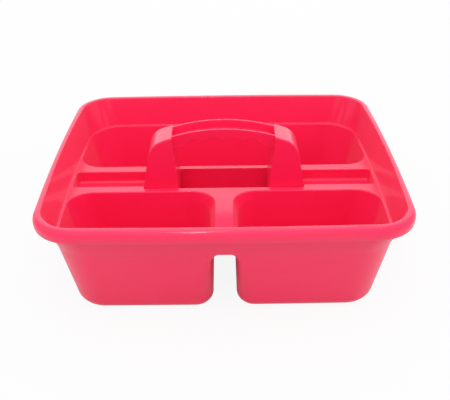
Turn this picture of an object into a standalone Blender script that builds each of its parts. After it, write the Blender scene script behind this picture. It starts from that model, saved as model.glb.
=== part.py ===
"""Carry caddy for art supplies: a moulded tray with three pockets, and a carry handle that snaps into it.

Metres, +Z up, -Y is the front. The origin is on the floor under the middle of the tray.
The tray is one shell: a shallow basin with a rolled lip, a deck, two front pockets and a long rear one.
The handle is a second moulding. Its legs go up through a socket in the deck and grip the groove's floor.
"""

import math

import bmesh
import bpy
from mathutils import Vector

# Wall and running fits, shared by both mouldings
WALL = 0.0020
SEAT_GAP = 0.0003
OVERLAP = 0.0008

# Rim and lip of the tray, before the sides bow out
RIM_WIDTH = 0.320
RIM_DEPTH = 0.270
RIM_HEIGHT = 0.105
RIM_CORNER_RADIUS = 0.0335
SIDE_BOW = 0.0034
FRONT_BOW = 0.0029
LIP_WIDTH = 0.0080
LIP_DROP = 0.0115
LIP_CREST_DROP = 0.0057
LIP_ROUND_WIDTH = 0.0050
LIP_EDGE_BEVEL = 0.0007
LIP_TUCK = 0.0012

# Basin and deck
DECK_HEIGHT = 0.074
BASIN_FLARE = 0.0056
BASIN_FILLET = 0.0008
BASIN_FOOT_RADIUS = 0.0300
FOOT_BOW = 0.0075

# Pockets. The widths of ledge, divider and stem are those of their flat tops
LEDGE = 0.0010
DIVIDER_WIDTH = 0.0482
STEM_WIDTH = 0.0176
POCKET_CORNER_RADIUS = 0.0225
POCKET_OUTER_RADIUS = 0.0290
POCKET_SLOT_RADIUS = 0.0155
POCKET_EDGE_FILLET = 0.0010
POCKET_FLOOR_FILLET = 0.0080
OUTER_DRAFT = math.radians(9.4)
INNER_DRAFT = math.radians(3.2)

# Groove along the divider
GROOVE_WIDTH = 0.0284
GROOVE_DEPTH = 0.0120
GROOVE_FILLET = 0.0020
GROOVE_CORNER_RADIUS = 0.0040
GROOVE_END_GAP = 0.0015
GROOVE_DRAFT = math.radians(2.0)

# Socket: the collar under the deck that the handle's legs slide up through, closed between them by a floor
SOCKET_DEPTH = 0.0260

# Handle: two hollow legs under one arch
HANDLE_WIDTH = 0.1566
HAND_GAP = 0.0882
LEG_DEPTH = 0.0374
LEG_SIDE_DRAFT = math.radians(10.4)
LEG_GAP_DRAFT = math.radians(5.0)
LEG_FACE_DRAFT = math.radians(4.0)
LEG_EDGE_RADIUS = 0.0016
SHOULDER_RADIUS = 0.0130
ARCH_HEIGHT = 0.0596
ARCH_RADIUS = 0.168

# Grip: a trough, open on top, with hollows for the fingers under it
GRIP_DEPTH = 0.0200
GRIP_MID_THICKNESS = 0.0140
GRIP_UNDER_RADIUS = 0.150
GRIP_UNDER_ROUND = 0.0035
GRIP_WALL = 0.0018
FINGER_COUNT = 4
FINGER_PITCH = 0.0170
FINGER_RADIUS = 0.0100
FINGER_DEPTH = 0.0050

# Foot of each leg: a tab under the socket's end, and a lug that clicks over the groove's floor
FOOT_LENGTH = 0.0042
FOOT_WIDTH = 0.0220
FOOT_THICKNESS = 0.0026
LUG_LENGTH = 0.0014
LUG_WIDTH = 0.0120
LUG_HEIGHT = 0.0045

# How finely curves are divided
CORNER_STEPS = 7
SIDE_STEPS = 7
FILLET_STEPS = 4
EDGE_STEPS = 2
LIP_STEPS = 5
ARCH_STEPS = 10
SHOULDER_STEPS = 8
CROWN_STEPS = 3
FINGER_STEPS = 28
SHOULDER_TRIES = 40

# How far round the edge of a pocket's mouth goes before it meets the deck, in degrees
MOUTH_ANGLE = 78.0
SMOOTH_ANGLE = math.radians(35)

PLASTIC_COLOUR = (0.86, 0.015, 0.060, 1.0)
PLASTIC_ROUGHNESS = 0.28

# Sizes that follow from the ones above
DECK_UNDERSIDE = DECK_HEIGHT - WALL
GROOVE_FLOOR = DECK_HEIGHT - GROOVE_DEPTH
GROOVE_UNDERSIDE = GROOVE_FLOOR - WALL
BASIN_INSET = LIP_WIDTH + BASIN_FLARE
OPENING_INSET = BASIN_INSET + LEDGE
HALF_HANDLE = HANDLE_WIDTH / 2
HALF_HAND_GAP = HAND_GAP / 2
SOCKET_BOTTOM = DECK_HEIGHT - SOCKET_DEPTH
FOOT_TOP = SOCKET_BOTTOM - SEAT_GAP
FOOT_BOTTOM = FOOT_TOP - FOOT_THICKNESS

# Place of the shoulder among the corners of a leg's outline
SHOULDER = 3


def clear_scene():
    for obj in list(bpy.data.objects):
        bpy.data.objects.remove(obj, do_unlink=True)


def plastic(name):
    """Glossy coloured polypropylene."""
    material = bpy.data.materials.new(name)
    material.use_nodes = True
    shader = material.node_tree.nodes["Principled BSDF"]
    shader.inputs["Base Color"].default_value = PLASTIC_COLOUR
    shader.inputs["Roughness"].default_value = PLASTIC_ROUGHNESS
    shader.inputs["Metallic"].default_value = 0.0
    material.diffuse_color = PLASTIC_COLOUR
    return material


# Shapes shared by the pieces


def bowed(outline):
    """An outline of the tray, moved out with the bow of the nearest outer wall. The middle stays put.

    The sides bow more at the basin's foot than at the rim."""
    points = []
    for x, y, z in outline:
        across = min(1.0, abs(x) / (RIM_WIDTH / 2))
        along = min(1.0, abs(y) / (RIM_DEPTH / 2))
        below = min(1.0, (RIM_HEIGHT - z) / (RIM_HEIGHT - DECK_HEIGHT))
        side_bow = SIDE_BOW + (FOOT_BOW - SIDE_BOW) * below**2
        x += math.copysign(side_bow * across**4 * (1 - along**2), x)
        y += math.copysign(FRONT_BOW * along**4 * (1 - across**2), y)
        points.append(Vector((x, y, z)))
    return points


def rounded_outline(left, right, front, back, radii, z):
    """Points round a rectangle with round corners, anticlockwise from its right side.

    radii are those of the back right, back left, front left and front right corners."""
    back_right, back_left, front_left, front_right = radii
    corners = [
        (right - back_right, back - back_right, back_right, 0.0),
        (left + back_left, back - back_left, back_left, 90.0),
        (left + front_left, front + front_left, front_left, 180.0),
        (right - front_right, front + front_right, front_right, 270.0),
    ]
    points = []
    for index, (centre_x, centre_y, radius, start) in enumerate(corners):
        for step in range(CORNER_STEPS + 1):
            angle = math.radians(start + 90.0 * step / CORNER_STEPS)
            points.append((centre_x + radius * math.cos(angle), centre_y + radius * math.sin(angle)))
        next_x, next_y, next_radius, next_start = corners[(index + 1) % 4]
        turn = math.radians(next_start)
        ahead = (next_x + next_radius * math.cos(turn), next_y + next_radius * math.sin(turn))
        here = points[-1]
        for step in range(1, SIDE_STEPS):
            share = step / SIDE_STEPS
            points.append((here[0] + (ahead[0] - here[0]) * share, here[1] + (ahead[1] - here[1]) * share))
    return [Vector((x, y, z)) for x, y in points]


def rim_outline(inset, radius, z):
    """The rim's outline, drawn in by inset, with its corners at this radius."""
    right = RIM_WIDTH / 2 - inset
    back = RIM_DEPTH / 2 - inset
    return bowed(rounded_outline(-right, right, -back, back, [radius] * 4, z))


def add_object(name, mesh):
    obj = bpy.data.objects.new(name, mesh)
    bpy.context.scene.collection.objects.link(obj)
    return obj


def finished_mesh(bm, name):
    """The mesh of a closed bmesh, with its faces pointing out."""
    bmesh.ops.recalc_face_normals(bm, faces=bm.faces)
    mesh = bpy.data.meshes.new(name)
    bm.to_mesh(mesh)
    bm.free()
    return mesh


def lofted(name, outlines):
    """A solid whose skin runs through the outlines in turn, closed by a flat face at each end."""
    bm = bmesh.new()
    first = [bm.verts.new(point) for point in outlines[0]]
    face = bm.faces.new(first)
    for outline in outlines[1:]:
        face = bmesh.ops.extrude_discrete_faces(bm, faces=[face])["faces"][0]
        for vert, point in zip(face.verts, outline):
            vert.co = point
    bmesh.ops.holes_fill(bm, edges=[edge for edge in bm.edges if edge.is_boundary], sides=0)
    return add_object(name, finished_mesh(bm, name))


def extruded(name, outline, half_depth, rounded=(), radius=0.0, steps=1, crease=None):
    """A solid with the X-Z outline given, from half_depth in front to half_depth behind.

    half_depth is a function of height, which may change its slope at the height crease.
    rounded lists the outline's corners to round off first."""
    bm = bmesh.new()
    verts = [bm.verts.new((x, -1.0, z)) for x, z in outline]
    bm.faces.new(verts)
    if rounded:
        bmesh.ops.bevel(
            bm,
            geom=[verts[index] for index in rounded],
            offset=radius,
            offset_type="OFFSET",
            segments=steps,
            profile=0.5,
            affect="VERTICES",
            material=-1,
        )
    behind = bmesh.ops.extrude_face_region(bm, geom=list(bm.faces))["geom"]
    moved = [item for item in behind if isinstance(item, bmesh.types.BMVert)]
    bmesh.ops.translate(bm, vec=(0.0, 2.0, 0.0), verts=moved)
    if crease is not None:
        everything = list(bm.verts) + list(bm.edges) + list(bm.faces)
        level, upward = (0.0, 0.0, crease), (0.0, 0.0, 1.0)
        bmesh.ops.bisect_plane(bm, geom=everything, dist=SEAT_GAP / 10, plane_co=level, plane_no=upward)
    for vert in bm.verts:
        vert.co.y = math.copysign(half_depth(vert.co.z), vert.co.y)
    return add_object(name, finished_mesh(bm, name))


def round_edges(obj, wanted, radius, steps):
    """Rounds off the edges of obj that wanted picks."""
    bm = bmesh.new()
    bm.from_mesh(obj.data)
    bmesh.ops.bevel(
        bm,
        geom=[edge for edge in bm.edges if wanted(edge)],
        offset=radius,
        offset_type="OFFSET",
        segments=steps,
        profile=0.5,
        affect="EDGES",
        material=-1,
    )
    bm.to_mesh(obj.data)
    bm.free()


def along_face(edge):
    """Whether an edge borders the front or the back of an extruded solid."""
    first, second = (vert.co.y for vert in edge.verts)
    return first * second > 0 and edge.calc_face_angle() > math.radians(45)


def box(name, low, high):
    bm = bmesh.new()
    bmesh.ops.create_cube(bm, size=1.0)
    low, high = Vector(low), Vector(high)
    bmesh.ops.scale(bm, vec=high - low, verts=bm.verts)
    bmesh.ops.translate(bm, vec=(low + high) / 2, verts=bm.verts)
    return add_object(name, finished_mesh(bm, name))


def combine(obj, other, operation):
    """Joins another solid to obj, or cuts it from obj, and removes it."""
    modifier = obj.modifiers.new(operation.lower(), "BOOLEAN")
    modifier.object = other
    modifier.operation = operation
    modifier.solver = "EXACT"
    evaluated = obj.evaluated_get(bpy.context.evaluated_depsgraph_get())
    mesh = bpy.data.meshes.new_from_object(evaluated)
    obj.modifiers.clear()
    obj.data = mesh
    bpy.data.objects.remove(other, do_unlink=True)


def finish(obj, material):
    obj.data.materials.clear()
    obj.data.materials.append(material)
    obj.data.shade_smooth()
    obj.data.set_sharp_from_angle(angle=SMOOTH_ANGLE)


def arc(steps, start, end):
    """Angles from start to end, in degrees, both included."""
    return [math.radians(start + (end - start) * step / steps) for step in range(steps + 1)]


# Tray


def lip_profile():
    """Inset and height of points round the lip's skin, from its lower edge up and over to the basin."""
    crest = RIM_HEIGHT - LIP_CREST_DROP
    below = LIP_DROP - LIP_CREST_DROP
    points = []
    for angle in arc(LIP_STEPS, -90.0, 0.0)[1:]:
        points.append((LIP_TUCK * (1 - math.cos(angle)), crest + below * math.sin(angle)))
    for angle in arc(LIP_STEPS, 0.0, 90.0)[1:]:
        points.append((LIP_ROUND_WIDTH * (1 - math.cos(angle)), crest + LIP_CREST_DROP * math.sin(angle)))
    return points


def basin_wall(outset, z):
    """Inset, corner radius and height of a point outset from the basin's inner wall.

    The wall leans in and its corners widen from the rim down to the deck."""
    share = (RIM_HEIGHT - z) / (RIM_HEIGHT - DECK_HEIGHT)
    inset = LIP_WIDTH + BASIN_FLARE * share
    top_radius = RIM_CORNER_RADIUS - LIP_WIDTH
    radius = top_radius + (BASIN_FOOT_RADIUS - top_radius) * share
    return inset - outset, radius + outset, z


def lip_point(inset, z):
    return inset, RIM_CORNER_RADIUS - inset, z


def basin():
    """The shallow upper part of the tray: deck plate, leaning wall and the lip that rolls over and down."""
    lip_bottom = RIM_HEIGHT - LIP_DROP
    lip_roof = RIM_HEIGHT - WALL
    bend = BASIN_FILLET + WALL
    profile = []
    for angle in arc(FILLET_STEPS, 90.0, 0.0):
        z = DECK_UNDERSIDE + bend * (1 - math.sin(angle))
        profile.append(basin_wall(WALL - bend * (1 - math.cos(angle)), z))
    profile += [
        basin_wall(WALL, lip_bottom),
        basin_wall(WALL, lip_roof),
        lip_point(LIP_TUCK + WALL, lip_roof - WALL),
        lip_point(LIP_TUCK + WALL, lip_bottom),
        lip_point(LIP_TUCK, lip_bottom),
    ]
    profile += [lip_point(inset, z) for inset, z in lip_profile()]
    profile.append(lip_point(LIP_WIDTH - LIP_EDGE_BEVEL, RIM_HEIGHT))
    profile.append(basin_wall(0.0, RIM_HEIGHT - LIP_EDGE_BEVEL))
    for angle in arc(FILLET_STEPS, 0.0, 90.0):
        z = DECK_HEIGHT + BASIN_FILLET * (1 - math.sin(angle))
        profile.append(basin_wall(-BASIN_FILLET * (1 - math.cos(angle)), z))
    return lofted("tray", [rim_outline(*level) for level in profile])


def pocket_outline(pocket, grow, z):
    """One level of a pocket: its walls, drawn in by draft with depth and moved out by grow."""
    down = DECK_HEIGHT - z
    outer_lean = down * math.tan(OUTER_DRAFT)
    inner_lean = down * math.tan(INNER_DRAFT)
    outer = POCKET_EDGE_FILLET + outer_lean - grow
    inner = POCKET_EDGE_FILLET + inner_lean - grow
    side = RIM_WIDTH / 2 - OPENING_INSET - outer
    far = RIM_DEPTH / 2 - OPENING_INSET - outer
    near = DIVIDER_WIDTH / 2 + inner
    stem = STEM_WIDTH / 2 + inner
    inner_corner = max(SEAT_GAP, POCKET_CORNER_RADIUS - inner + inner_lean / 2)
    outer_corner = max(SEAT_GAP, POCKET_OUTER_RADIUS - outer + outer_lean / 2)
    slot_corner = max(SEAT_GAP, POCKET_SLOT_RADIUS - inner + inner_lean / 2)
    if pocket == "rear":
        radii = [outer_corner, outer_corner, inner_corner, inner_corner]
        return bowed(rounded_outline(-side, side, near, far, radii, z))
    if pocket == "front_left":
        radii = [inner_corner, inner_corner, outer_corner, slot_corner]
        return bowed(rounded_outline(-side, -stem, -far, -near, radii, z))
    radii = [inner_corner, inner_corner, slot_corner, outer_corner]
    return bowed(rounded_outline(stem, side, -far, -near, radii, z))


def pocket_floor(pocket, fillet, grow, floor_z):
    """Outlines round the fillet between a pocket's walls and its floor, from the wall down."""
    outlines = []
    for angle in arc(FILLET_STEPS, 0.0, 90.0):
        reach = fillet * (1 - math.cos(angle))
        z = floor_z + fillet * (1 - math.sin(angle))
        outlines.append(pocket_outline(pocket, grow - reach, z))
    return outlines


def pocket_shell(pocket):
    """The outside of a pocket, from within the deck plate down to the floor that the tray stands on."""
    top = DECK_HEIGHT - WALL / 2
    outlines = [pocket_outline(pocket, WALL, top)]
    outlines += pocket_floor(pocket, POCKET_FLOOR_FILLET + WALL, WALL, 0.0)
    return lofted(f"{pocket}_shell", outlines)


def pocket_hollow(pocket):
    """The inside of a pocket, with the round edge of its mouth."""
    outlines = [pocket_outline(pocket, POCKET_EDGE_FILLET, DECK_HEIGHT + OVERLAP)]
    for angle in arc(FILLET_STEPS, MOUTH_ANGLE, 0.0):
        grow = POCKET_EDGE_FILLET * (1 - math.cos(angle))
        z = DECK_HEIGHT - POCKET_EDGE_FILLET * (1 - math.sin(angle))
        outlines.append(pocket_outline(pocket, grow, z))
    outlines += pocket_floor(pocket, POCKET_FLOOR_FILLET, 0.0, WALL)
    return lofted(f"{pocket}_hollow", outlines)


def groove_outline(grow, z):
    """One level of the groove that runs along the divider from wall to wall."""
    shrink = (DECK_HEIGHT - z) * math.tan(GROOVE_DRAFT) - grow
    end = RIM_WIDTH / 2 - BASIN_INSET - GROOVE_END_GAP - shrink
    side = GROOVE_WIDTH / 2 - shrink
    return bowed(rounded_outline(-end, end, -side, side, [GROOVE_CORNER_RADIUS] * 4, z))


def groove_shell():
    levels = (DECK_HEIGHT - WALL / 2, GROOVE_UNDERSIDE)
    return lofted("groove_shell", [groove_outline(WALL, z) for z in levels])


def groove_hollow():
    outlines = [groove_outline(0.0, DECK_HEIGHT + OVERLAP)]
    for angle in arc(FILLET_STEPS, 0.0, 90.0):
        reach = GROOVE_FILLET * (1 - math.cos(angle))
        outlines.append(groove_outline(-reach, GROOVE_FLOOR + GROOVE_FILLET * (1 - math.sin(angle))))
    return lofted("groove_hollow", outlines)


def socket_outline(grow, z):
    """The outline round both of the handle's legs, with room for them to slide, moved out by grow."""
    across = HALF_HANDLE + SEAT_GAP + grow
    along = LEG_DEPTH / 2 + SEAT_GAP + grow
    return rounded_outline(-across, across, -along, along, [LEG_EDGE_RADIUS + grow] * 4, z)


def socket_shell():
    levels = (DECK_HEIGHT - WALL / 2, SOCKET_BOTTOM)
    return lofted("socket_shell", [socket_outline(WALL, z) for z in levels])


def socket_hollow():
    """The opening in the deck and its collar that the handle comes up through."""
    levels = (DECK_HEIGHT + OVERLAP, SOCKET_BOTTOM - OVERLAP)
    return lofted("socket_hollow", [socket_outline(0.0, z) for z in levels])


def well_floor():
    """The plate that closes the socket between the two legs."""
    across = HALF_HAND_GAP - SEAT_GAP
    along = LEG_DEPTH / 2 + SEAT_GAP + WALL / 2
    return box("well_floor", (-across, -along, SOCKET_BOTTOM), (across, along, SOCKET_BOTTOM + WALL))


def make_tray(material):
    tray = basin()
    pockets = ("front_left", "front_right", "rear")
    for shell in [pocket_shell(pocket) for pocket in pockets] + [groove_shell(), socket_shell()]:
        combine(tray, shell, "UNION")
    for hollow in [pocket_hollow(pocket) for pocket in pockets] + [groove_hollow(), socket_hollow()]:
        combine(tray, hollow, "DIFFERENCE")
    combine(tray, well_floor(), "UNION")
    finish(tray, material)
    return tray


# Handle


def arch_top(x):
    """Height of the arch's crown line above the floor."""
    return DECK_HEIGHT + ARCH_HEIGHT - (ARCH_RADIUS - math.sqrt(ARCH_RADIUS**2 - x**2))


def grip_underside(x):
    """Height of the grip's lower edge, before the finger hollows."""
    middle = DECK_HEIGHT + ARCH_HEIGHT - GRIP_MID_THICKNESS
    return middle - (GRIP_UNDER_RADIUS - math.sqrt(GRIP_UNDER_RADIUS**2 - x**2))


def leg_outer(z):
    return HALF_HANDLE - max(0.0, z - DECK_HEIGHT) * math.tan(LEG_SIDE_DRAFT)


def leg_inner(z):
    return HALF_HAND_GAP + max(0.0, z - DECK_HEIGHT) * math.tan(LEG_GAP_DRAFT)


def leg_half_depth(z):
    return LEG_DEPTH / 2 - max(0.0, z - DECK_HEIGHT) * math.tan(LEG_FACE_DRAFT)


def shoulder_corner(inset):
    """Where the leg's outer side would meet the arch, both drawn in by inset."""
    z = DECK_HEIGHT + ARCH_HEIGHT
    for _ in range(SHOULDER_TRIES):
        z = arch_top(leg_outer(z) - inset) - inset
    return leg_outer(z) - inset, z


def leg_outline(inset, bottom):
    """The right leg seen from the front: its outline, drawn in by inset, down to bottom."""
    corner_x, corner_z = shoulder_corner(inset)
    crown = arch_top(HALF_HAND_GAP)
    inner_top = leg_inner(crown) + inset
    points = [
        (HALF_HAND_GAP + inset, bottom),
        (HALF_HANDLE - inset, bottom),
        (HALF_HANDLE - inset, DECK_HEIGHT),
        (corner_x, corner_z),
    ]
    for step in range(1, CROWN_STEPS + 1):
        x = corner_x + (inner_top - corner_x) * step / CROWN_STEPS
        points.append((x, arch_top(x) - inset))
    points.append((HALF_HAND_GAP + inset, DECK_HEIGHT))
    return points


def mirrored(outline):
    return [(-x, z) for x, z in outline]


def leg_shell(side):
    outline = leg_outline(0.0, FOOT_BOTTOM)
    shape = outline if side == "right" else mirrored(outline)
    rounding = ([SHOULDER], SHOULDER_RADIUS, SHOULDER_STEPS)
    leg = extruded(f"{side}_leg", shape, leg_half_depth, *rounding, DECK_HEIGHT)

    def above_sole(edge):
        return max(vert.co.z for vert in edge.verts) > FOOT_BOTTOM + OVERLAP

    round_edges(leg, lambda edge: along_face(edge) and above_sole(edge), LEG_EDGE_RADIUS, EDGE_STEPS)
    return leg


def leg_hollow(side):
    """The inside of a leg, open at its foot."""
    outline = leg_outline(WALL, FOOT_BOTTOM - OVERLAP)
    shape = outline if side == "right" else mirrored(outline)
    rounding = ([SHOULDER], SHOULDER_RADIUS - WALL, SHOULDER_STEPS)

    def half_depth(z):
        return leg_half_depth(z) - WALL

    return extruded(f"{side}_hollow", shape, half_depth, *rounding, DECK_HEIGHT)


def foot(side):
    """The tab at the foot of a leg that bears up against the end of the socket."""
    sign = 1.0 if side == "right" else -1.0
    xs = sorted((sign * (HALF_HANDLE - WALL / 2), sign * (HALF_HANDLE + FOOT_LENGTH)))
    half = FOOT_WIDTH / 2
    return box(f"{side}_foot", (xs[0], -half, FOOT_BOTTOM), (xs[1], half, FOOT_TOP))


def lug(side):
    """The wedge on a leg that clicks over the edge of the groove's floor."""
    sign = 1.0 if side == "right" else -1.0
    root = HALF_HANDLE - WALL / 2
    bottom = GROOVE_FLOOR + SEAT_GAP
    outline = [(root, bottom), (HALF_HANDLE + LUG_LENGTH, bottom), (root, bottom + LUG_HEIGHT)]
    return extruded(f"{side}_lug", [(sign * x, z) for x, z in outline], lambda z: LUG_WIDTH / 2)


def grip_bar():
    """The bar between the legs, round along its lower edges."""
    reach = leg_inner(DECK_HEIGHT + ARCH_HEIGHT) + WALL / 2
    xs = [reach * (2 * step / ARCH_STEPS - 1) for step in range(ARCH_STEPS + 1)]
    outline = [(x, grip_underside(x)) for x in xs]
    outline += [(x, arch_top(x)) for x in reversed(xs)]
    grip = extruded("grip", outline, lambda z: GRIP_DEPTH / 2)

    def below(edge):
        return all(vert.co.z < grip_underside(vert.co.x) + SEAT_GAP for vert in edge.verts)

    round_edges(grip, lambda edge: along_face(edge) and below(edge), GRIP_UNDER_ROUND, FILLET_STEPS)
    return grip


def finger_hollow(index):
    """A round hollow across the grip's lower edge for one finger."""
    x = (index - (FINGER_COUNT - 1) / 2) * FINGER_PITCH
    z = grip_underside(x) + FINGER_DEPTH - FINGER_RADIUS
    outline = [
        (x + FINGER_RADIUS * math.cos(angle), z + FINGER_RADIUS * math.sin(angle))
        for angle in arc(FINGER_STEPS, 0.0, 360.0)[:-1]
    ]
    return extruded(f"finger_{index}", outline, lambda z: GRIP_DEPTH)


def trough():
    """The open top of the grip, with a floor that clears the finger hollows."""
    reach = leg_inner(DECK_HEIGHT + ARCH_HEIGHT) - WALL
    xs = [reach * (2 * step / ARCH_STEPS - 1) for step in range(ARCH_STEPS + 1)]
    outline = [(x, grip_underside(x) + FINGER_DEPTH + GRIP_WALL) for x in xs]
    top = DECK_HEIGHT + ARCH_HEIGHT + OVERLAP
    outline += [(reach, top), (-reach, top)]
    return extruded("trough", outline, lambda z: GRIP_DEPTH / 2 - GRIP_WALL)


def make_handle(material):
    handle = grip_bar()
    handle.name = "handle"
    for index in range(FINGER_COUNT):
        combine(handle, finger_hollow(index), "DIFFERENCE")
    for side in ("left", "right"):
        for piece in (leg_shell(side), foot(side), lug(side)):
            combine(handle, piece, "UNION")
        combine(handle, leg_hollow(side), "DIFFERENCE")
    combine(handle, trough(), "DIFFERENCE")
    finish(handle, material)
    return handle


def main():
    clear_scene()
    make_tray(plastic("tray_plastic"))
    make_handle(plastic("handle_plastic"))


main()
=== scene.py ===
import math

import bmesh
import bpy
from mathutils import Matrix, Vector


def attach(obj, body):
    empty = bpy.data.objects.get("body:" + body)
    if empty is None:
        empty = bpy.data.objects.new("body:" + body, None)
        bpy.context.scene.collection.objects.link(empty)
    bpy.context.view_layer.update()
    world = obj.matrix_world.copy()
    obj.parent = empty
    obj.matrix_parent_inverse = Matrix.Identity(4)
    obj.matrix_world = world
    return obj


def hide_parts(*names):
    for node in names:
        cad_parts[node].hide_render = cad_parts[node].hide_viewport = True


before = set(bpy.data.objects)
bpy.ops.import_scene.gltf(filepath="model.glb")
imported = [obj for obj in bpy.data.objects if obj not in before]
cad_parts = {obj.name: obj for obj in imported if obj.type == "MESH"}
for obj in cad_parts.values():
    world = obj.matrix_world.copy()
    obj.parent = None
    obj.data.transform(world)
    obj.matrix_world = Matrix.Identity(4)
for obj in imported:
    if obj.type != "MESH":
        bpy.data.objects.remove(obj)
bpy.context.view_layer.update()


# Tray
# One injection-moulded polypropylene shell: a shallow basin with a rolled lip, a deck, two front pockets,
# a long rear pocket, a groove along the divider and a socket under it. The wall is even, its bends rounded.

tray_wall = 0.0020
rim_half_width = 0.160
rim_half_depth = 0.135
rim_height = 0.105
rim_corner = 0.0335
rim_side_bow = 0.0034
foot_side_bow = 0.0075
front_bow = 0.0029

lip_width = 0.0080
lip_bottom = 0.0935
lip_crest = 0.0993
lip_tuck = 0.0012
lip_round = 0.0050
lip_inner_round = 0.0010
lip_roof = rim_height - tray_wall
lip_roof_reach = 0.0010
lip_roof_bend = 0.0012
lip_roof_sag = 0.0004
lip_foot_bevel = 0.0005

deck = 0.074
deck_underside = deck - tray_wall
basin_flare = 0.0056
basin_foot_corner = 0.0300
basin_fillet = 0.0006
skirt_tuck = 0.0014
skirt_tuck_height = 0.0180
skirt_steps = 8
basin_levels = (0.097, 0.090, 0.083, 0.077)

pocket_inset = 0.0156
divider_half = 0.0251
stem_half = 0.0121
pocket_outer_corner = 0.0290
pocket_divider_corner = 0.0215
pocket_slot_corner = 0.0145
slot_top_corner = 0.0045
slot_taper_foot = 0.018
slot_taper_height = 0.042
pocket_mouth = 0.0008
stem_mouth = 0.0010
mouth_drop = 0.0014
stem_flare = 0.0034
stem_flare_height = 0.0100
pocket_floor_fillet = 0.0080
pocket_under_fillet = 0.0003
slot_arch_reach = 0.0060
slot_arch_height = 0.0090
slot_arch_pinch = 0.0060
outer_draft = math.tan(math.radians(9.4))
inner_draft = math.tan(math.radians(3.2))
stem_draft = math.tan(math.radians(0.5))
pocket_levels = (0.072, 0.068, 0.0643, 0.064, 0.0637, 0.058, 0.051, 0.044, 0.036, 0.026, 0.017)
pocket_outer_levels = (0.056, 0.048, 0.040, 0.030, 0.020)

groove_half_length = 0.1440
groove_half_width = 0.0142
groove_corner = 0.0040
groove_floor = 0.062
groove_edge = 0.0006
groove_fillet = 0.0030
groove_under_round = 0.0012
groove_draft = math.tan(math.radians(2.0))

socket_half_length = 0.0786
socket_half_width = 0.0190
socket_corner = 0.0016
socket_bottom = 0.048
well_half_length = 0.0438

# Narrow strips beside the bends, which keep the wide faces next to them flat
flat_strip = 0.0002
lip_strip = 0.0004
groove_floor_strip = 0.0004
groove_strip = 0.0005
wall_strip = 0.0006
floor_strip = 0.0008

tray_sharp_angle = 40

tray_colour = (0.85, 0.009, 0.079)
tray_flow_colour = (0.88, 0.012, 0.088)


def quarter(steps, first=0.0, last=90.0):
    """Sines and cosines round a quarter turn, both ends included."""
    turns = [math.radians(first + (last - first) * step / steps) for step in range(steps + 1)]
    return [(math.sin(turn), math.cos(turn)) for turn in turns]


def rounded(left, right, front, back, radii, z, corner_steps=14, side_steps=16):
    """Points round a rectangle. The corner radii go back right, back left, front left, front right."""
    corners = [
        (right - radii[0], back - radii[0], radii[0]),
        (left + radii[1], back - radii[1], radii[1]),
        (left + radii[2], front + radii[2], radii[2]),
        (right - radii[3], front + radii[3], radii[3]),
    ]
    points = []
    for index, (x, y, radius) in enumerate(corners):
        for sine, cosine in quarter(corner_steps, 90.0 * index, 90.0 * index + 90.0):
            points.append(Vector((x + radius * cosine, y + radius * sine, z)))
        next_x, next_y, next_radius = corners[(index + 1) % 4]
        turn = math.radians(90.0 * index + 90.0)
        ahead = Vector((next_x + next_radius * math.cos(turn), next_y + next_radius * math.sin(turn), z))
        here = points[-1]
        points += [here.lerp(ahead, step / side_steps) for step in range(1, side_steps)]
    return points


def skin(bm, outlines):
    """Draws a skin through the outlines by extruding the first from one to the next. Its start stays open."""
    face = bm.faces.new([bm.verts.new(point) for point in outlines[0]])
    for outline in outlines[1:]:
        face = bmesh.ops.extrude_discrete_faces(bm, faces=[face])["faces"][0]
        for vert, point in zip(face.verts, outline):
            vert.co = point
    return face


def rim_ring(inset, corner, z):
    across, along = rim_half_width - inset, rim_half_depth - inset
    return rounded(-across, across, -along, along, [corner] * 4, z)


def lip_ring(inset, z):
    return rim_ring(inset, rim_corner - inset, z)


def basin_ring(outset, z):
    """A ring outset from the basin's inner wall, which leans in, its corners widening, down to the deck."""
    down = (rim_height - z) / (rim_height - deck)
    inset = lip_width + basin_flare * down
    top_corner = rim_corner - lip_width
    corner = top_corner + (basin_foot_corner - top_corner) * down
    return rim_ring(inset - outset, corner + outset, z)


def skirt_rings():
    """The outside of the basin, from under the deck, where it tucks in a little, up behind the lip."""
    rings = []
    for step in range(skirt_steps + 1):
        up = step / skirt_steps
        rings.append(basin_ring(tray_wall - skirt_tuck * (1 - up), deck_underside + skirt_tuck_height * up))
    for z in (lip_bottom, lip_roof - 4 * lip_roof_sag):
        rings.append(basin_ring(tray_wall, z))
    return rings


def lip_rings():
    """The lip: under the rolled edge, round its lower lobe and crest, and over to the basin's inner edge."""
    inside = lip_tuck + tray_wall
    rings = [basin_ring(tray_wall + lip_roof_reach, lip_roof - lip_roof_sag)]
    rings.append(lip_ring(inside + lip_roof_bend, lip_roof - 2 * lip_roof_sag))
    rings.append(lip_ring(inside, lip_roof - 2 * lip_roof_bend))
    rings.append(lip_ring(inside, lip_bottom + 2 * lip_roof_sag))
    rings += [lip_ring(inset, lip_bottom) for inset in (inside - lip_foot_bevel, lip_tuck + lip_foot_bevel)]
    for sine, cosine in quarter(10, -75.0, 0.0):
        rings.append(lip_ring(lip_tuck * (1 - cosine), lip_crest + (lip_crest - lip_bottom) * sine))
    for sine, cosine in quarter(14)[1:]:
        rings.append(lip_ring(lip_round * (1 - cosine), lip_crest + (rim_height - lip_crest) * sine))
    rings.append(basin_ring(lip_inner_round + lip_strip, rim_height))
    for sine, cosine in quarter(6):
        z = rim_height - lip_inner_round * (1 - cosine)
        rings.append(basin_ring(lip_inner_round * (1 - sine), z))
    return rings


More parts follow.
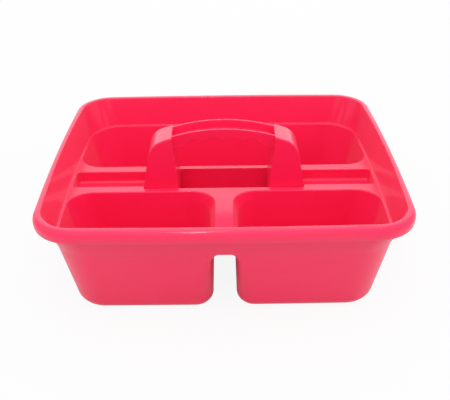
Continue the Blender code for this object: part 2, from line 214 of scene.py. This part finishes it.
def basin_and_lip(bm):
    """The skin from the deck's underside up the skirt, round the lip and down the basin to the deck."""
    rings = skirt_rings() + lip_rings()
    rings += [basin_ring(0.0, z) for z in (rim_height - lip_inner_round - wall_strip, *basin_levels)]
    rings.append(basin_ring(0.0, deck + basin_fillet + flat_strip))
    for sine, cosine in quarter(5):
        rings.append(basin_ring(-basin_fillet * (1 - cosine), deck + basin_fillet * (1 - sine)))
    rings.append(basin_ring(-basin_fillet - flat_strip, deck))
    last = skin(bm, rings)
    bmesh.ops.delete(bm, geom=[last], context="FACES_ONLY")


def pocket_ring(pocket, z, outer, near, stem, pinch=0.0):
    """A pocket's outline at a level, moved in by outer at the tray's sides, by near at the divider
    and by stem at the stem. The corner beside the slot tightens towards the top, and more by pinch."""
    outer_lean = (deck - z) * outer_draft
    inner_lean = (deck - z) * inner_draft
    side = rim_half_width - pocket_inset - outer - outer_lean
    far = rim_half_depth - pocket_inset - outer - outer_lean
    divider = divider_half + near + inner_lean
    middle = stem_half + stem + (deck - z) * stem_draft
    wide = pocket_outer_corner - outer - outer_lean / 2
    tight = pocket_divider_corner - near - inner_lean / 2
    up = min(1.0, max(0.0, (z - slot_taper_foot) / slot_taper_height))
    slot = pocket_slot_corner + (slot_top_corner - pocket_slot_corner) * up - near - pinch
    if pocket == "rear":
        return rounded(-side, side, divider, far, [wide, wide, tight, tight], z)
    if pocket == "front_left":
        return rounded(-side, -middle, -far, -divider, [tight, tight, wide, slot], z)
    return rounded(middle, side, -far, -divider, [tight, tight, slot, wide], z)


def stem_lean(z):
    """How far a front pocket's wall leans over towards the stem near its mouth."""
    return -stem_flare * max(0.0, 1 - (deck - z) / stem_flare_height)


def pocket_inside(bm, pocket):
    """A pocket's inner skin: the round edge of its mouth, the drafted walls and the bend to its floor."""
    strip = -pocket_mouth - flat_strip
    rings = [pocket_ring(pocket, deck, strip, strip, stem_lean(deck) - stem_mouth - flat_strip)]
    for sine, cosine in quarter(8, 90.0, 0.0):
        z = deck - mouth_drop * (1 - sine)
        edge = -pocket_mouth * (1 - cosine)
        rings.append(pocket_ring(pocket, z, edge, edge, stem_lean(z) - stem_mouth * (1 - cosine)))
    floor_bend = tray_wall + pocket_floor_fillet
    for z in (*pocket_levels, floor_bend + wall_strip):
        rings.append(pocket_ring(pocket, z, 0.0, 0.0, stem_lean(z)))
    for sine, cosine in quarter(9):
        reach = pocket_floor_fillet * (1 - cosine)
        rings.append(pocket_ring(pocket, tray_wall + pocket_floor_fillet * (1 - sine), reach, reach, reach))
    reach = pocket_floor_fillet + floor_strip
    rings.append(pocket_ring(pocket, tray_wall, reach, reach, reach))
    skin(bm, rings)


def pocket_outside(bm, pocket):
    """A pocket's outer skin, from the deck's underside down to the bend and the sole that it stands on."""
    strip = -tray_wall - pocket_under_fillet - flat_strip / 2
    top = -tray_wall - slot_arch_reach - flat_strip
    rings = [pocket_ring(pocket, deck_underside, strip, strip, top, slot_arch_pinch)]
    for sine, cosine in quarter(10, 90.0, 0.0):
        z = deck_underside - slot_arch_height * (1 - sine)
        edge = -tray_wall - pocket_under_fillet * (1 - cosine)
        arch = -tray_wall - slot_arch_reach * (1 - cosine)
        rings.append(pocket_ring(pocket, z, edge, edge, arch, slot_arch_pinch * (1 - (1 - sine) ** 2)))
    bottom = pocket_floor_fillet + tray_wall
    for z in (deck_underside - slot_arch_height - wall_strip, *pocket_outer_levels, bottom + wall_strip):
        rings.append(pocket_ring(pocket, z, -tray_wall, -tray_wall, -tray_wall))
    for sine, cosine in quarter(9):
        reach = bottom * (1 - cosine) - tray_wall
        rings.append(pocket_ring(pocket, bottom * (1 - sine), reach, reach, reach))
    reach = bottom - tray_wall + floor_strip
    rings.append(pocket_ring(pocket, 0.0, reach, reach, reach))
    skin(bm, rings)


def groove_ring(grow, z):
    """The groove's outline at a level, moved out by grow. Its walls lean in towards the floor."""
    lean = (deck - z) * groove_draft - grow
    length, width = groove_half_length - lean, groove_half_width - lean
    return rounded(-length, length, -width, width, [groove_corner - lean] * 4, z)


def groove_outside(bm):
    """The groove's outer skin, from the deck's underside down and round under its floor."""
    floor = groove_floor - tray_wall
    rings = [groove_ring(tray_wall + pocket_under_fillet + flat_strip, deck_underside)]
    for sine, cosine in quarter(4, 90.0, 0.0):
        grow = tray_wall + pocket_under_fillet * (1 - cosine)
        rings.append(groove_ring(grow, deck_underside - pocket_under_fillet * (1 - sine)))
    rings.append(groove_ring(tray_wall, floor + groove_under_round + groove_floor_strip))
    for sine, cosine in quarter(4):
        grow = tray_wall - groove_under_round * (1 - cosine)
        rings.append(groove_ring(grow, floor + groove_under_round * (1 - sine)))
    rings.append(groove_ring(tray_wall - groove_under_round - groove_floor_strip, floor))
    skin(bm, rings)


def fill_level(bm, z):
    """Closes the flat web between the open loops at one level."""
    open_edges = [edge for edge in bm.edges if edge.is_boundary]
    loops = [edge for edge in open_edges if all(abs(vert.co.z - z) < 1e-6 for vert in edge.verts)]
    bmesh.ops.triangle_fill(bm, edges=loops, use_beauty=True, normal=(0.0, 0.0, 1.0))


def bow_sides(bm):
    """Lets the long walls bulge, as they do when a moulding cools. The lip is stiffer and bulges less."""
    for vert in bm.verts:
        across = min(1.0, abs(vert.co.x) / rim_half_width)
        along = min(1.0, abs(vert.co.y) / rim_half_depth)
        below = min(1.0, (rim_height - vert.co.z) / (rim_height - deck))
        wall = min(1.0, (1 - across) * rim_half_width / lip_width)
        side_bow = rim_side_bow + (foot_side_bow - rim_side_bow) * max(below**2, wall)
        vert.co.x += math.copysign(side_bow * across**4 * (1 - along**2), vert.co.x)
        vert.co.y += math.copysign(front_bow * along**4 * (1 - across**2), vert.co.y)


def finished_piece(bm, name):
    """Turns a closed bmesh into an object whose faces point out and whose bends are shaded round."""
    bmesh.ops.recalc_face_normals(bm, faces=bm.faces)
    if bm.calc_volume(signed=True) < 0:
        bmesh.ops.reverse_faces(bm, faces=bm.faces)
    mesh = bpy.data.meshes.new(name)
    bm.to_mesh(mesh)
    bm.free()
    mesh.shade_smooth()
    piece = bpy.data.objects.new(name, mesh)
    bpy.context.scene.collection.objects.link(piece)
    return piece


def shade_flats(piece, angle):
    """Keeps wide faces flat and lets only the narrow bends between them shade round."""
    piece.data.shade_smooth()
    piece.data.set_sharp_from_angle(angle=math.radians(angle))
    weighted = piece.modifiers.new("flat_faces", "WEIGHTED_NORMAL")
    weighted.keep_sharp = True


def combine(piece, other, operation):
    """Joins another closed shape to a piece, or cuts it out, and removes it."""
    modifier = piece.modifiers.new(operation.lower(), "BOOLEAN")
    modifier.object = other
    modifier.operation = operation
    modifier.solver = "EXACT"
    mesh = bpy.data.meshes.new_from_object(piece.evaluated_get(bpy.context.evaluated_depsgraph_get()))
    piece.modifiers.clear()
    piece.data = mesh
    bpy.data.objects.remove(other, do_unlink=True)


def close_start(bm):
    """Closes the open start of a skin."""
    bmesh.ops.holes_fill(bm, edges=[edge for edge in bm.edges if edge.is_boundary], sides=0)


def groove_hollow():
    """The space in the groove, from just over the deck, round its edge and down to the bend at its floor."""
    bm = bmesh.new()
    rings = [groove_ring(groove_edge, deck + groove_edge)]
    for sine, cosine in quarter(4, 85.0, 0.0):
        rings.append(groove_ring(groove_edge * (1 - cosine), deck - groove_edge * (1 - sine)))
    rings.append(groove_ring(0.0, deck - groove_edge - groove_strip))
    rings.append(groove_ring(0.0, groove_floor + groove_fillet + groove_strip))
    for sine, cosine in quarter(6):
        rings.append(groove_ring(-groove_fillet * (1 - cosine), groove_floor + groove_fillet * (1 - sine)))
    rings.append(groove_ring(-groove_fillet - groove_floor_strip, groove_floor))
    skin(bm, rings)
    close_start(bm)
    bow_sides(bm)
    return finished_piece(bm, "groove")


def socket_block(grow, bottom, top):
    """An upright block with round corners, as large as the socket's opening moved out by grow."""
    bm = bmesh.new()
    outlines = []
    for z in (bottom, top):
        across, along = socket_half_length + grow, socket_half_width + grow
        outlines.append(rounded(-across, across, -along, along, [socket_corner + grow] * 4, z))
    skin(bm, outlines)
    close_start(bm)
    return finished_piece(bm, "socket")


def well_floor():
    """The plate that closes the socket between the handle's legs."""
    bm = bmesh.new()
    bmesh.ops.create_cube(bm, size=2.0)
    half_size = (well_half_length, socket_half_width + tray_wall / 2, tray_wall / 2)
    bmesh.ops.scale(bm, vec=half_size, verts=bm.verts)
    bmesh.ops.translate(bm, vec=(0.0, 0.0, socket_bottom + tray_wall / 2), verts=bm.verts)
    return finished_piece(bm, "well_floor")


def make_tray():
    """The shell and the socket's collar, with the groove and the socket cut out and the well's floor added."""
    bm = bmesh.new()
    basin_and_lip(bm)
    for pocket in ("rear", "front_left", "front_right"):
        pocket_inside(bm, pocket)
        pocket_outside(bm, pocket)
    groove_outside(bm)
    fill_level(bm, deck)
    fill_level(bm, deck_underside)
    bow_sides(bm)
    piece = finished_piece(bm, "tray_shell")
    combine(piece, socket_block(tray_wall, socket_bottom, deck - tray_wall / 2), "UNION")
    combine(piece, groove_hollow(), "DIFFERENCE")
    combine(piece, socket_block(0.0, socket_bottom - tray_wall, deck + tray_wall), "DIFFERENCE")
    combine(piece, well_floor(), "UNION")
    shade_flats(piece, tray_sharp_angle)
    return piece


def moulded_gloss_group():
    """What moulded gloss plastic shows close up: faint flow marks, a fine orange peel and light scuffs."""
    group = bpy.data.node_groups.new("moulded_gloss", "ShaderNodeTree")
    for name in ("Colour", "Flow Colour"):
        group.interface.new_socket(name, in_out="INPUT", socket_type="NodeSocketColor")
    for name in ("Roughness", "Scuffs"):
        group.interface.new_socket(name, in_out="INPUT", socket_type="NodeSocketFloat")
    group.interface.new_socket("Colour", in_out="OUTPUT", socket_type="NodeSocketColor")
    for name in ("Roughness", "Height"):
        group.interface.new_socket(name, in_out="OUTPUT", socket_type="NodeSocketFloat")
    nodes, links = group.nodes, group.links
    given = nodes.new("NodeGroupInput")
    result = nodes.new("NodeGroupOutput")
    place = nodes.new("ShaderNodeTexCoord")

    flow = nodes.new("ShaderNodeTexNoise")
    flow.inputs["Scale"].default_value = 9.0
    flow.inputs["Detail"].default_value = 3.0
    flow.inputs["Distortion"].default_value = 0.6
    links.new(place.outputs["Object"], flow.inputs["Vector"])
    tint = nodes.new("ShaderNodeMix")
    tint.data_type = "RGBA"
    links.new(flow.outputs["Fac"], tint.inputs["Factor"])
    links.new(given.outputs["Colour"], tint.inputs[6])
    links.new(given.outputs["Flow Colour"], tint.inputs[7])
    links.new(tint.outputs[2], result.inputs["Colour"])

    stretch = nodes.new("ShaderNodeMapping")
    stretch.inputs["Scale"].default_value = (40.0, 420.0, 420.0)
    stretch.inputs["Rotation"].default_value = (0.3, 0.2, 0.5)
    links.new(place.outputs["Object"], stretch.inputs["Vector"])
    scratch = nodes.new("ShaderNodeTexNoise")
    scratch.inputs["Scale"].default_value = 1.0
    scratch.inputs["Detail"].default_value = 2.0
    links.new(stretch.outputs["Vector"], scratch.inputs["Vector"])
    fine = nodes.new("ShaderNodeMapRange")
    fine.inputs["From Min"].default_value = 0.60
    fine.inputs["From Max"].default_value = 0.80
    links.new(scratch.outputs["Fac"], fine.inputs["Value"])
    scuffed = nodes.new("ShaderNodeMath")
    scuffed.operation = "MULTIPLY_ADD"
    links.new(fine.outputs["Result"], scuffed.inputs[0])
    links.new(given.outputs["Scuffs"], scuffed.inputs[1])
    links.new(given.outputs["Roughness"], scuffed.inputs[2])
    links.new(scuffed.outputs["Value"], result.inputs["Roughness"])

    peel = nodes.new("ShaderNodeTexNoise")
    peel.inputs["Scale"].default_value = 260.0
    peel.inputs["Detail"].default_value = 1.5
    links.new(place.outputs["Object"], peel.inputs["Vector"])
    links.new(peel.outputs["Fac"], result.inputs["Height"])
    return group


moulded_gloss = moulded_gloss_group()


def gloss_plastic(name, colour, flow_colour, roughness, bloom):
    """Plastic of this colour, with this roughness under its clear gloss and a pale bloom over it."""
    material = bpy.data.materials.new(name)
    material.use_nodes = True
    nodes, links = material.node_tree.nodes, material.node_tree.links
    shader = nodes["Principled BSDF"]
    look = nodes.new("ShaderNodeGroup")
    look.node_tree = moulded_gloss
    look.inputs["Colour"].default_value = (*colour, 1.0)
    look.inputs["Flow Colour"].default_value = (*flow_colour, 1.0)
    look.inputs["Roughness"].default_value = roughness
    look.inputs["Scuffs"].default_value = 0.08
    bump = nodes.new("ShaderNodeBump")
    bump.inputs["Strength"].default_value = 1.0
    bump.inputs["Distance"].default_value = 0.000002
    links.new(look.outputs["Colour"], shader.inputs["Base Color"])
    links.new(look.outputs["Roughness"], shader.inputs["Roughness"])
    links.new(look.outputs["Height"], bump.inputs["Height"])
    links.new(bump.outputs["Normal"], shader.inputs["Normal"])
    shader.inputs["IOR"].default_value = 1.49
    shader.inputs["Specular IOR Level"].default_value = 0.38
    shader.inputs["Sheen Weight"].default_value = bloom
    shader.inputs["Sheen Roughness"].default_value = 0.40
    shader.inputs["Coat Weight"].default_value = 0.55
    shader.inputs["Coat Roughness"].default_value = 0.14
    return material


tray = make_tray()
tray_plastic = gloss_plastic("tray_plastic", tray_colour, tray_flow_colour, roughness=0.52, bloom=0.12)
tray.data.materials.append(tray_plastic)
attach(tray, "root")
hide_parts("tray")


# Handle
# A second moulding in the same plastic: two hollow legs with slanting shoulders, and between them an arched
# grip that is an open trough with finger hollows below. The legs go up through the socket, and lugs hold them.

handle_wall = 0.0020
handle_half = 0.0783
hand_gap_half = 0.0441
leg_half_depth = 0.0187
leg_side_lean = math.tan(math.radians(10.4))
leg_gap_lean = math.tan(math.radians(5.0))
leg_face_lean = math.tan(math.radians(4.0))
leg_edge = 0.0014
shoulder_radius = 0.0200
arch_top = 0.1336
arch_radius = 0.168

grip_half_depth = 0.0114
grip_thickness = 0.0140
grip_under_radius = 0.150
grip_wall = 0.0020
grip_root = 0.0014
grip_step = 0.0002
grip_under_round = 0.0010
grip_steps = 120
trough_depth = 0.0070
trough_lean = 0.0008
trough_rim = 0.0005
finger_pitch = 0.0170
finger_radius = 0.0100
finger_depth = 0.0050
peak_round = 0.0015

foot_top = 0.0477
foot_bottom = 0.0451
foot_reach = 0.0042
foot_half_width = 0.0110
lug_reach = 0.0014
lug_half_width = 0.0060
lug_bottom = 0.0623
lug_height = 0.0045

close_by = 0.0002
hair = 0.0001
cut_tolerance = 0.00003
longest_border_step = 0.012
border_turn = math.radians(50)
handle_sharp_angle = 38

handle_colour = (0.85, 0.009, 0.076)
handle_flow_colour = (0.88, 0.012, 0.086)


def arch_height(x, inset=0.0):
    """Height of the arch along the top of the handle, drawn in by inset."""
    return arch_top - arch_radius + math.sqrt((arch_radius - inset) ** 2 - x**2)


def under_height(x):
    """Height of the grip's lower edge before the finger hollows are cut."""
    return arch_top - grip_thickness - grip_under_radius + math.sqrt(grip_under_radius**2 - x**2)


def hollowed_height(x):
    """Height of the grip's lower edge, cut by four round hollows."""
    height = under_height(x)
    for place in (-1.5, -0.5, 0.5, 1.5):
        centre = place * finger_pitch
        if abs(x - centre) < finger_radius:
            top = under_height(centre) + finger_depth - finger_radius
            height = max(height, top + math.sqrt(finger_radius**2 - (x - centre) ** 2))
    return height


def finger_edge(x):
    """Height of the grip's lower edge, with the peaks between its hollows worn round."""
    nearby = [x + peak_round * step / 2 for step in (-2, -1, 0, 1, 2)]
    return sum(hollowed_height(place) for place in nearby) / len(nearby)


def extruded(outline, half_depth):
    """A closed shape with this outline seen from the front, from half_depth before to half_depth behind."""
    bm = bmesh.new()
    face = bm.faces.new([bm.verts.new((x, -half_depth, z)) for x, z in outline])
    grown = bmesh.ops.extrude_face_region(bm, geom=[face])["geom"]
    moved = [item for item in grown if isinstance(item, bmesh.types.BMVert)]
    bmesh.ops.translate(bm, vec=(0.0, 2 * half_depth, 0.0), verts=moved)
    bmesh.ops.recalc_face_normals(bm, faces=bm.faces)
    return bm


def round_off(bm, edges, radius, segments):
    bmesh.ops.bevel(
        bm,
        geom=edges,
        offset=radius,
        offset_type="OFFSET",
        segments=segments,
        profile=0.5,
        affect="EDGES",
        material=-1,
    )


def borders_front_or_back(edge):
    """Whether an edge runs round the front or the back face of an extruded shape."""
    first, second = (vert.co.y for vert in edge.verts)
    one_side = first * second > 0 and abs(first - second) < longest_border_step
    return one_side and edge.calc_face_angle(0.0) > border_turn


def make_grip():
    """The arched grip: a bar with finger hollows below, sunk on top to a trough."""
    reach = hand_gap_half + (arch_top - deck) * leg_gap_lean + grip_root
    xs = [reach * (2 * step / grip_steps - 1) for step in range(grip_steps + 1)]
    outline = [(x, finger_edge(x)) for x in xs] + [(x, arch_height(x, grip_step)) for x in reversed(xs)]
    bm = extruded(outline, grip_half_depth)
    tops = [face for face in bm.faces if face.normal.z > 0.7 and abs(face.normal.y) < 0.1]
    for thickness in (grip_wall, trough_lean):
        bmesh.ops.inset_region(bm, faces=tops, thickness=thickness, use_boundary=True, use_even_offset=True)
    trough = list({vert for face in tops for vert in face.verts})
    bmesh.ops.translate(bm, vec=(0.0, 0.0, -trough_depth), verts=trough)
    lower = [
        edge
        for edge in bm.edges
        if borders_front_or_back(edge) and all(v.co.z < finger_edge(v.co.x) + close_by for v in edge.verts)
    ]
    round_off(bm, lower, grip_under_round, 4)
    rims = [
        edge
        for edge in bm.edges
        if borders_front_or_back(edge)
        and all(abs(v.co.z - arch_height(v.co.x, grip_step)) < close_by for v in edge.verts)
        and all(abs(v.co.x) < reach - handle_wall for v in edge.verts)
    ]
    round_off(bm, rims, trough_rim, 3)
    return finished_piece(bm, "handle_moulding")


def shoulder_arc(inset):
    """Points of the round shoulder, which touches the leg's leaning side and the arch, drawn in by inset."""
    arch_centre = arch_top - arch_radius
    square = 1 + leg_side_lean**2
    reach = handle_half - (arch_centre - deck) * leg_side_lean - shoulder_radius * math.sqrt(square)
    spare = (reach * leg_side_lean) ** 2 - square * (reach**2 - (arch_radius - shoulder_radius) ** 2)
    rise = (reach * leg_side_lean + math.sqrt(spare)) / square
    x, z = reach - leg_side_lean * rise, arch_centre + rise
    radius = shoulder_radius - inset
    first, last = math.degrees(math.atan(leg_side_lean)), math.degrees(math.atan2(rise, x))
    return [(x + radius * cosine, z + radius * sine) for sine, cosine in quarter(16, first, last)]


def leg_outline(inset, bottom):
    """The right leg seen from the front, drawn in by inset, from bottom round the shoulder to the gap."""
    shoulder = shoulder_arc(inset)
    arch_start = shoulder[-1][0]
    inner, outer = hand_gap_half + inset, handle_half - inset
    crown = inner + (arch_height(hand_gap_half) - deck) * leg_gap_lean
    points = [(inner, bottom), (outer, bottom), (outer, deck), *shoulder]
    for step in range(1, 7):
        x = arch_start + (crown - arch_start) * step / 6
        points.append((x, arch_height(x, inset)))
    return points + [(inner, deck)]


def leg_solid(sign, inset, bottom):
    """A leg's solid, drawn in by inset, whose front and back lean in above the deck."""
    bm = extruded([(sign * x, z) for x, z in leg_outline(inset, bottom)], leg_half_depth)
    everything = list(bm.verts) + list(bm.edges) + list(bm.faces)
    bmesh.ops.bisect_plane(bm, geom=everything, dist=cut_tolerance, plane_co=(0, 0, deck), plane_no=(0, 0, 1))
    for vert in bm.verts:
        depth = leg_half_depth - inset - max(0.0, vert.co.z - deck) * leg_face_lean
        vert.co.y = math.copysign(depth, vert.co.y)
    sole = bottom + hair
    edges = [e for e in bm.edges if borders_front_or_back(e) and max(v.co.z for v in e.verts) > sole]
    crown = max(v.co.z for v in bm.verts) - hair
    edges += [e for e in bm.edges if min(v.co.z for v in e.verts) > crown]
    round_off(bm, edges, leg_edge - inset / 3, 4)
    return finished_piece(bm, "leg")


def make_leg(sign):
    """A hollow leg, open at its foot."""
    leg = leg_solid(sign, 0.0, foot_bottom)
    combine(leg, leg_solid(sign, handle_wall, foot_bottom - handle_wall), "DIFFERENCE")
    return leg


def make_foot(sign):
    """The tab at the foot of a leg that bears up against the socket's end."""
    bm = bmesh.new()
    bmesh.ops.create_cube(bm, size=1.0)
    length = foot_reach + handle_wall / 2
    bmesh.ops.scale(bm, vec=(length, 2 * foot_half_width, foot_top - foot_bottom), verts=bm.verts)
    middle = sign * (handle_half + foot_reach - length / 2)
    bmesh.ops.translate(bm, vec=(middle, 0.0, (foot_top + foot_bottom) / 2), verts=bm.verts)
    return finished_piece(bm, "foot")


def make_lug(sign):
    """The wedge that clicks over the groove's floor."""
    root = handle_half - handle_wall / 2
    tip, top = handle_half + lug_reach, lug_bottom + lug_height
    outline = [(sign * x, z) for x, z in ((root, lug_bottom), (tip, lug_bottom), (root, top))]
    return finished_piece(extruded(outline, lug_half_width), "lug")


handle = make_grip()
for sign in (-1, 1):
    for piece in (make_leg(sign), make_foot(sign), make_lug(sign)):
        combine(handle, piece, "UNION")
shade_flats(handle, handle_sharp_angle)
handle_plastic = gloss_plastic("handle_plastic", handle_colour, handle_flow_colour, roughness=0.50, bloom=0.0)
handle.data.materials.append(handle_plastic)
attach(handle, "root")
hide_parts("handle")


# Studio
# A plain pale floor under soft lamps, with a pale background, and the camera at the photograph's angle.
# The camera sees the floor mostly as white, with a little of the object's shadow left in it.

floor_half_size = 6.0
floor_colour = (0.70, 0.70, 0.70, 1.0)
floor_glow_share = 0.9
sky_strength = 0.70
camera_place = (-0.0004, -0.5548, 0.4033)

floor_mesh = bmesh.new()
bmesh.ops.create_grid(floor_mesh, x_segments=1, y_segments=1, size=floor_half_size)
floor = finished_piece(floor_mesh, "studio_floor")
floor_paint = bpy.data.materials.new("studio_floor")
floor_paint.use_nodes = True
floor_nodes, floor_links = floor_paint.node_tree.nodes, floor_paint.node_tree.links
floor_shader = floor_nodes["Principled BSDF"]
floor_shader.inputs["Base Color"].default_value = floor_colour
floor_shader.inputs["Roughness"].default_value = 0.9
floor_shader.inputs["Specular IOR Level"].default_value = 0.0
floor_glow = floor_nodes.new("ShaderNodeEmission")
floor_rays = floor_nodes.new("ShaderNodeLightPath")
floor_share = floor_nodes.new("ShaderNodeMath")
floor_share.operation = "MULTIPLY"
floor_share.inputs[1].default_value = floor_glow_share
floor_seen = floor_nodes.new("ShaderNodeMixShader")
floor_links.new(floor_rays.outputs["Is Camera Ray"], floor_share.inputs[0])
floor_links.new(floor_share.outputs["Value"], floor_seen.inputs["Fac"])
floor_links.new(floor_shader.outputs["BSDF"], floor_seen.inputs[1])
floor_links.new(floor_glow.outputs["Emission"], floor_seen.inputs[2])
floor_links.new(floor_seen.outputs["Shader"], floor_nodes["Material Output"].inputs["Surface"])
floor.data.materials.append(floor_paint)

world = bpy.data.worlds.new("studio")
bpy.context.scene.world = world
world.use_nodes = True
world_nodes, world_links = world.node_tree.nodes, world.node_tree.links
sky = world_nodes["Background"]
sky.inputs["Color"].default_value = (1.0, 1.0, 1.0, 1.0)
sky.inputs["Strength"].default_value = sky_strength
pale = world_nodes.new("ShaderNodeBackground")
pale.inputs["Color"].default_value = (0.8, 0.8, 0.8, 1.0)
pale.inputs["Strength"].default_value = 1.0
rays = world_nodes.new("ShaderNodeLightPath")
plain = world_nodes.new("ShaderNodeMath")
plain.operation = "MAXIMUM"
seen = world_nodes.new("ShaderNodeMixShader")
world_links.new(rays.outputs["Is Camera Ray"], plain.inputs[0])
world_links.new(rays.outputs["Is Glossy Ray"], plain.inputs[1])
world_links.new(plain.outputs["Value"], seen.inputs["Fac"])
world_links.new(sky.outputs["Background"], seen.inputs[1])
world_links.new(pale.outputs["Background"], seen.inputs[2])
world_links.new(seen.outputs["Shader"], world_nodes["World Output"].inputs["Surface"])


def soft_lamp(name, place, aim, width, height, radiance, mirrored=True):
    """A flat lamp whose face shines at this radiance, on a scale where white is 1."""
    lamp = bpy.data.lights.new(name, "AREA")
    lamp.shape = "RECTANGLE"
    lamp.size, lamp.size_y = width, height
    lamp.energy = radiance * math.pi * width * height
    holder = bpy.data.objects.new(name, lamp)
    bpy.context.scene.collection.objects.link(holder)
    holder.visible_glossy = mirrored
    holder.location = place
    holder.rotation_euler = (Vector(aim) - Vector(place)).to_track_quat("-Z", "Y").to_euler()


soft_lamp("back_panel", (0.0, 1.20, 0.60), (0.0, 0.0, 0.08), 2.4, 1.0, 0.95)
soft_lamp("overhead", (0.0, 0.30, 1.60), (0.0, 0.0, 0.05), 1.2, 0.7, 1.2)
soft_lamp("front_fill", (-0.10, -1.05, 1.05), (0.0, 0.0, 0.05), 1.0, 0.7, 2.6, mirrored=False)
soft_lamp("right_fill", (1.10, -0.30, 0.90), (0.0, 0.0, 0.05), 0.7, 0.7, 3.0, mirrored=False)
soft_lamp("left_fill", (-1.10, -0.30, 0.90), (0.0, 0.0, 0.05), 0.7, 0.7, 1.5, mirrored=False)
soft_lamp("sparkle", (-0.078, -0.38, 1.30), (-0.03, -0.13, 0.10), 0.014, 0.30, 110.0)

camera_data = bpy.data.cameras.new("camera")
camera_data.sensor_width = 36.0
camera_data.lens = 51.6
camera_data.clip_start = 0.01
camera = bpy.data.objects.new("camera", camera_data)
bpy.context.scene.collection.objects.link(camera)
pitch, yaw, roll = math.radians(32.66), math.radians(0.14), math.radians(0.60)
turned = Matrix.Rotation(-yaw, 4, "Z") @ Matrix.Rotation(math.pi / 2 - pitch, 4, "X")
turned = turned @ Matrix.Rotation(-roll, 4, "Z")
camera.matrix_world = Matrix.Translation(camera_place) @ turned
bpy.context.scene.camera = camera
bpy.context.scene.view_settings.view_transform = "Standard"
